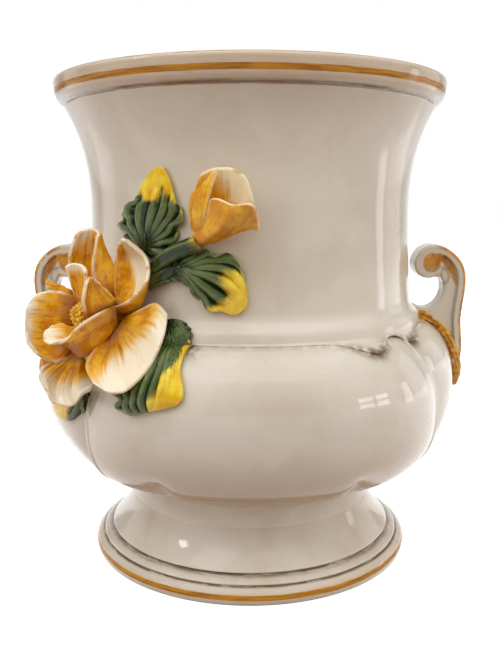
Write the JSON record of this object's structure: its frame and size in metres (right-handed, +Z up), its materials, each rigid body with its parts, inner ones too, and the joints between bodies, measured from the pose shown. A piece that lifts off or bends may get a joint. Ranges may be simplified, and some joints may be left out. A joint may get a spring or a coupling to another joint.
{
  "type": "ceramic urn",
  "caption": "Open glazed urn with a flared neck, a lobed belly, a spreading foot, scrolled handles and an applied flower spray; it stands on its foot and holds flowers or a liner.",
  "frame": {"origin": "centre of the foot's underside, where the urn stands", "axes": "+Z up the urn's axis, +X to the right handle, and the side with the flower spray faces -Y"},
  "size_m": [0.2834, 0.2698, 0.3],
  "materials": {
    "ivory_glaze": "gloss",
    "ochre_glaze": "gloss",
    "petal_glaze": "gloss",
    "leaf_glaze": "gloss",
    "stamen_glaze": "gloss"
  },
  "bodies": {
    "root": {"neck_bell": "ivory_glaze", "lobed_belly": "ivory_glaze", "foot": "ivory_glaze", "handle_right": "ivory_glaze", "handle_left": "ivory_glaze", "handle_leaf_right": "ochre_glaze", "handle_leaf_left": "ochre_glaze", "flower_seat": "petal_glaze", "petal_right": "petal_glaze", "petal_top": "petal_glaze", "petal_inner_right": "petal_glaze", "petal_inner_left": "petal_glaze", "petal_left": "petal_glaze", "petal_lower_left": "petal_glaze", "petal_lower_right": "petal_glaze", "petal_cup": "petal_glaze", "petal_far_left": "petal_glaze", "petal_back": "petal_glaze", "bud_heart": "petal_glaze", "bud_back": "petal_glaze", "bud_wrap_left": "petal_glaze", "bud_wrap_right": "petal_glaze", "stamen_cluster": "stamen_glaze", "stem": "leaf_glaze", "leaf_upper": "leaf_glaze", "leaf_right": "leaf_glaze", "leaf_lower_right": "leaf_glaze", "leaf_lower_left": "leaf_glaze"}
  },
  "joints": []
}
